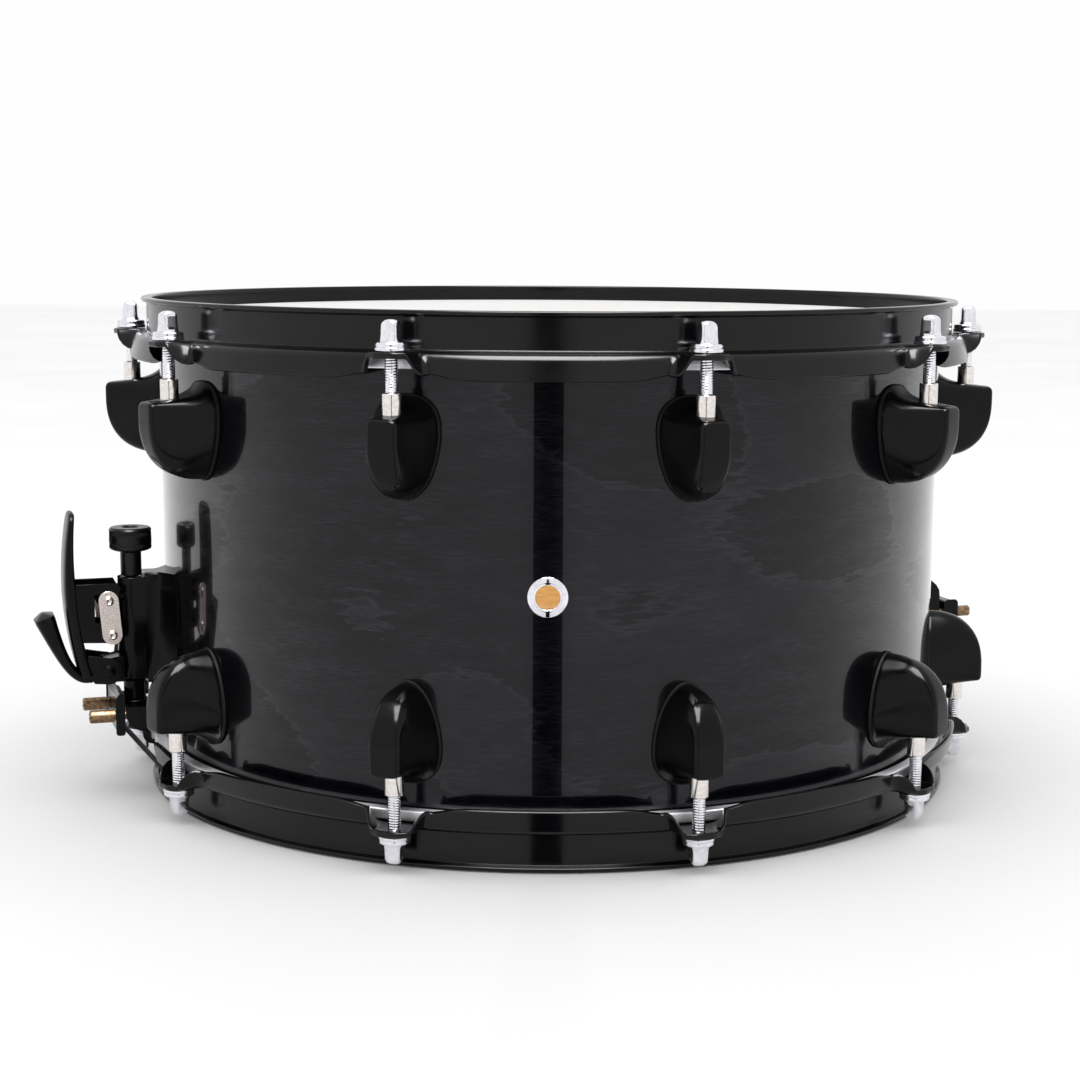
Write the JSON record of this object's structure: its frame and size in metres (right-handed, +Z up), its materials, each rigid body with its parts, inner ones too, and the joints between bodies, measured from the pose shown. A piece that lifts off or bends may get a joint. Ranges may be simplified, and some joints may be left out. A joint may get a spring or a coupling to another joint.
{
  "type": "snare drum",
  "caption": "Deep 14 inch snare drum: lacquered wood shell, black hoops, lugs and tension rods, and a throw-off strainer that drops the snare wires.",
  "frame": {"origin": "on the drum's axis, in the plane of the lower rim's edge", "axes": "+Z up along the drum's axis, -Y out through the air vent, the strainer on the -X side and the butt plate on the +X side"},
  "size_m": [0.4378, 0.3928, 0.2194],
  "materials": {
    "shell_lacquer": "transparent black gloss lacquer over figured veneer",
    "hoop_black": "gloss black",
    "lug_black": "gloss black",
    "rod_chrome": "polished",
    "vent_chrome": "polished",
    "coated_film": "white coated film, fine tooth",
    "clear_film": "thin hazy film",
    "flesh_hoop_aluminium": "satin",
    "cast_black": "satin black",
    "link_nickel": "nickel plated",
    "strap_black": "woven webbing",
    "snare_steel": "bright"
  },
  "bodies": {
    "drum": {"shell": "shell_lacquer", "vent_grommet": "vent_chrome", "batter_hoop": "hoop_black", "batter_head_film": "coated_film", "batter_flesh_hoop": "flesh_hoop_aluminium", "batter_lug_01": "lug_black", "batter_lug_02": "lug_black", "batter_lug_03": "lug_black", "batter_lug_04": "lug_black", "batter_lug_05": "lug_black", "batter_lug_06": "lug_black", "batter_lug_07": "lug_black", "batter_lug_08": "lug_black", "batter_lug_09": "lug_black", "batter_lug_10": "lug_black", "snare_hoop": "hoop_black", "snare_head_film": "clear_film", "snare_flesh_hoop": "flesh_hoop_aluminium", "snare_lug_01": "lug_black", "snare_lug_02": "lug_black", "snare_lug_03": "lug_black", "snare_lug_04": "lug_black", "snare_lug_05": "lug_black", "snare_lug_06": "lug_black", "snare_lug_07": "lug_black", "snare_lug_08": "lug_black", "snare_lug_09": "lug_black", "snare_lug_10": "lug_black", "strainer_base": "cast_black", "strainer_strap": "strap_black", "butt_base": "cast_black", "butt_clamp_bar": "cast_black", "butt_strap": "strap_black"},
    "batter_rod_01": {"batter_tension_rod_01": "rod_chrome"},
    "batter_rod_02": {"batter_tension_rod_02": "rod_chrome"},
    "batter_rod_03": {"batter_tension_rod_03": "rod_chrome"},
    "batter_rod_04": {"batter_tension_rod_04": "rod_chrome"},
    "batter_rod_05": {"batter_tension_rod_05": "rod_chrome"},
    "batter_rod_06": {"batter_tension_rod_06": "rod_chrome"},
    "batter_rod_07": {"batter_tension_rod_07": "rod_chrome"},
    "batter_rod_08": {"batter_tension_rod_08": "rod_chrome"},
    "batter_rod_09": {"batter_tension_rod_09": "rod_chrome"},
    "batter_rod_10": {"batter_tension_rod_10": "rod_chrome"},
    "snare_rod_01": {"snare_tension_rod_01": "rod_chrome"},
    "snare_rod_02": {"snare_tension_rod_02": "rod_chrome"},
    "snare_rod_03": {"snare_tension_rod_03": "rod_chrome"},
    "snare_rod_04": {"snare_tension_rod_04": "rod_chrome"},
    "snare_rod_05": {"snare_tension_rod_05": "rod_chrome"},
    "snare_rod_06": {"snare_tension_rod_06": "rod_chrome"},
    "snare_rod_07": {"snare_tension_rod_07": "rod_chrome"},
    "snare_rod_08": {"snare_tension_rod_08": "rod_chrome"},
    "snare_rod_09": {"snare_tension_rod_09": "rod_chrome"},
    "snare_rod_10": {"snare_tension_rod_10": "rod_chrome"},
    "throw_lever": {"throw_lever": "cast_black"},
    "lever_link": {"lever_link": "link_nickel"},
    "strainer_piston": {"strainer_piston": "cast_black"},
    "tension_knob": {"tension_knob": "cast_black"},
    "strap_clamp": {"strap_clamp": "cast_black", "strap_clamp_plate": "cast_black"},
    "snare_wires": {"snare_wires": "snare_steel"}
  },
  "joints": [
    {"name": "lever_throw", "type": "hinge", "parent": "drum", "child": "throw_lever", "pos_m": [-0.19592, -0.06366, 0.0565], "axis": [0.309, -0.9511, 0], "range_deg": [0, 38]},
    {"name": "piston_slide", "type": "slide", "parent": "drum", "child": "strainer_piston", "axis": [0, 0, 1], "range_m": [-0.0056, 0], "deforming": ["strainer_strap"]},
    {"name": "link_swing", "type": "hinge", "parent": "strainer_piston", "child": "lever_link", "pos_m": [-0.19554, -0.06353, 0.0884], "axis": [0.309, -0.9511, 0], "range_deg": [-43, 0]},
    {"name": "knob_turn", "type": "hinge", "parent": "strainer_piston", "child": "tension_knob", "pos_m": [-0.18469, -0.06001, 0.115], "axis": [0, 0, 1], "range_deg": [-1080, 1080]},
    {"name": "strap_clamp_slide", "type": "slide", "parent": "strainer_piston", "child": "strap_clamp", "axis": [0, 0, 1], "range_m": [-0.0033, 0.0033]},
    {"name": "snare_drop", "type": "hinge", "parent": "drum", "child": "snare_wires", "pos_m": [0.15027, 0.04883, 0.0061], "axis": [0.309, -0.9511, 0], "range_deg": [0, 0.39]},
    {"name": "batter_rod_01_turn", "type": "hinge", "parent": "drum", "child": "batter_rod_01", "pos_m": [0.05973, -0.18384, 0.207], "axis": [0, 0, 1], "range_deg": [-720, 720]},
    {"name": "batter_rod_02_turn", "type": "hinge", "parent": "drum", "child": "batter_rod_02", "pos_m": [0.15638, -0.11362, 0.207], "axis": [0, 0, 1], "range_deg": [-720, 720]},
    {"name": "batter_rod_03_turn", "type": "hinge", "parent": "drum", "child": "batter_rod_03", "pos_m": [0.1933, 0, 0.207], "axis": [0, 0, 1], "range_deg": [-720, 720]},
    {"name": "batter_rod_04_turn", "type": "hinge", "parent": "drum", "child": "batter_rod_04", "pos_m": [0.15638, 0.11362, 0.207], "axis": [0, 0, 1], "range_deg": [-720, 720]},
    {"name": "batter_rod_05_turn", "type": "hinge", "parent": "drum", "child": "batter_rod_05", "pos_m": [0.05973, 0.18384, 0.207], "axis": [0, 0, 1], "range_deg": [-720, 720]},
    {"name": "batter_rod_06_turn", "type": "hinge", "parent": "drum", "child": "batter_rod_06", "pos_m": [-0.05973, 0.18384, 0.207], "axis": [0, 0, 1], "range_deg": [-720, 720]},
    {"name": "batter_rod_07_turn", "type": "hinge", "parent": "drum", "child": "batter_rod_07", "pos_m": [-0.15638, 0.11362, 0.207], "axis": [0, 0, 1], "range_deg": [-720, 720]},
    {"name": "batter_rod_08_turn", "type": "hinge", "parent": "drum", "child": "batter_rod_08", "pos_m": [-0.1933, 0, 0.207], "axis": [0, 0, 1], "range_deg": [-720, 720]},
    {"name": "batter_rod_09_turn", "type": "hinge", "parent": "drum", "child": "batter_rod_09", "pos_m": [-0.15638, -0.11362, 0.207], "axis": [0, 0, 1], "range_deg": [-720, 720]},
    {"name": "batter_rod_10_turn", "type": "hinge", "parent": "drum", "child": "batter_rod_10", "pos_m": [-0.05973, -0.18384, 0.207], "axis": [0, 0, 1], "range_deg": [-720, 720]},
    {"name": "snare_rod_01_turn", "type": "hinge", "parent": "drum", "child": "snare_rod_01", "pos_m": [0.05973, -0.18384, 0.0124], "axis": [0, 0, 1], "range_deg": [-720, 720]},
    {"name": "snare_rod_02_turn", "type": "hinge", "parent": "drum", "child": "snare_rod_02", "pos_m": [0.15638, -0.11362, 0.0124], "axis": [0, 0, 1], "range_deg": [-720, 720]},
    {"name": "snare_rod_03_turn", "type": "hinge", "parent": "drum", "child": "snare_rod_03", "pos_m": [0.1933, 0, 0.0124], "axis": [0, 0, 1], "range_deg": [-720, 720]},
    {"name": "snare_rod_04_turn", "type": "hinge", "parent": "drum", "child": "snare_rod_04", "pos_m": [0.15638, 0.11362, 0.0124], "axis": [0, 0, 1], "range_deg": [-720, 720]},
    {"name": "snare_rod_05_turn", "type": "hinge", "parent": "drum", "child": "snare_rod_05", "pos_m": [0.05973, 0.18384, 0.0124], "axis": [0, 0, 1], "range_deg": [-720, 720]},
    {"name": "snare_rod_06_turn", "type": "hinge", "parent": "drum", "child": "snare_rod_06", "pos_m": [-0.05973, 0.18384, 0.0124], "axis": [0, 0, 1], "range_deg": [-720, 720]},
    {"name": "snare_rod_07_turn", "type": "hinge", "parent": "drum", "child": "snare_rod_07", "pos_m": [-0.15638, 0.11362, 0.0124], "axis": [0, 0, 1], "range_deg": [-720, 720]},
    {"name": "snare_rod_08_turn", "type": "hinge", "parent": "drum", "child": "snare_rod_08", "pos_m": [-0.1933, 0, 0.0124], "axis": [0, 0, 1], "range_deg": [-720, 720]},
    {"name": "snare_rod_09_turn", "type": "hinge", "parent": "drum", "child": "snare_rod_09", "pos_m": [-0.15638, -0.11362, 0.0124], "axis": [0, 0, 1], "range_deg": [-720, 720]},
    {"name": "snare_rod_10_turn", "type": "hinge", "parent": "drum", "child": "snare_rod_10", "pos_m": [-0.05973, -0.18384, 0.0124], "axis": [0, 0, 1], "range_deg": [-720, 720]}
  ],
  "couplings": [
    {"joint": "piston_slide", "follows": "lever_throw", "m_per_rad": -0.0084},
    {"joint": "link_swing", "follows": "lever_throw", "ratio": -1.116},
    {"joint": "snare_drop", "follows": "lever_throw", "ratio": 0.01},
    {"joint": "strap_clamp_slide", "follows": "knob_turn", "m_per_rad": -0.00015915}
  ]
}
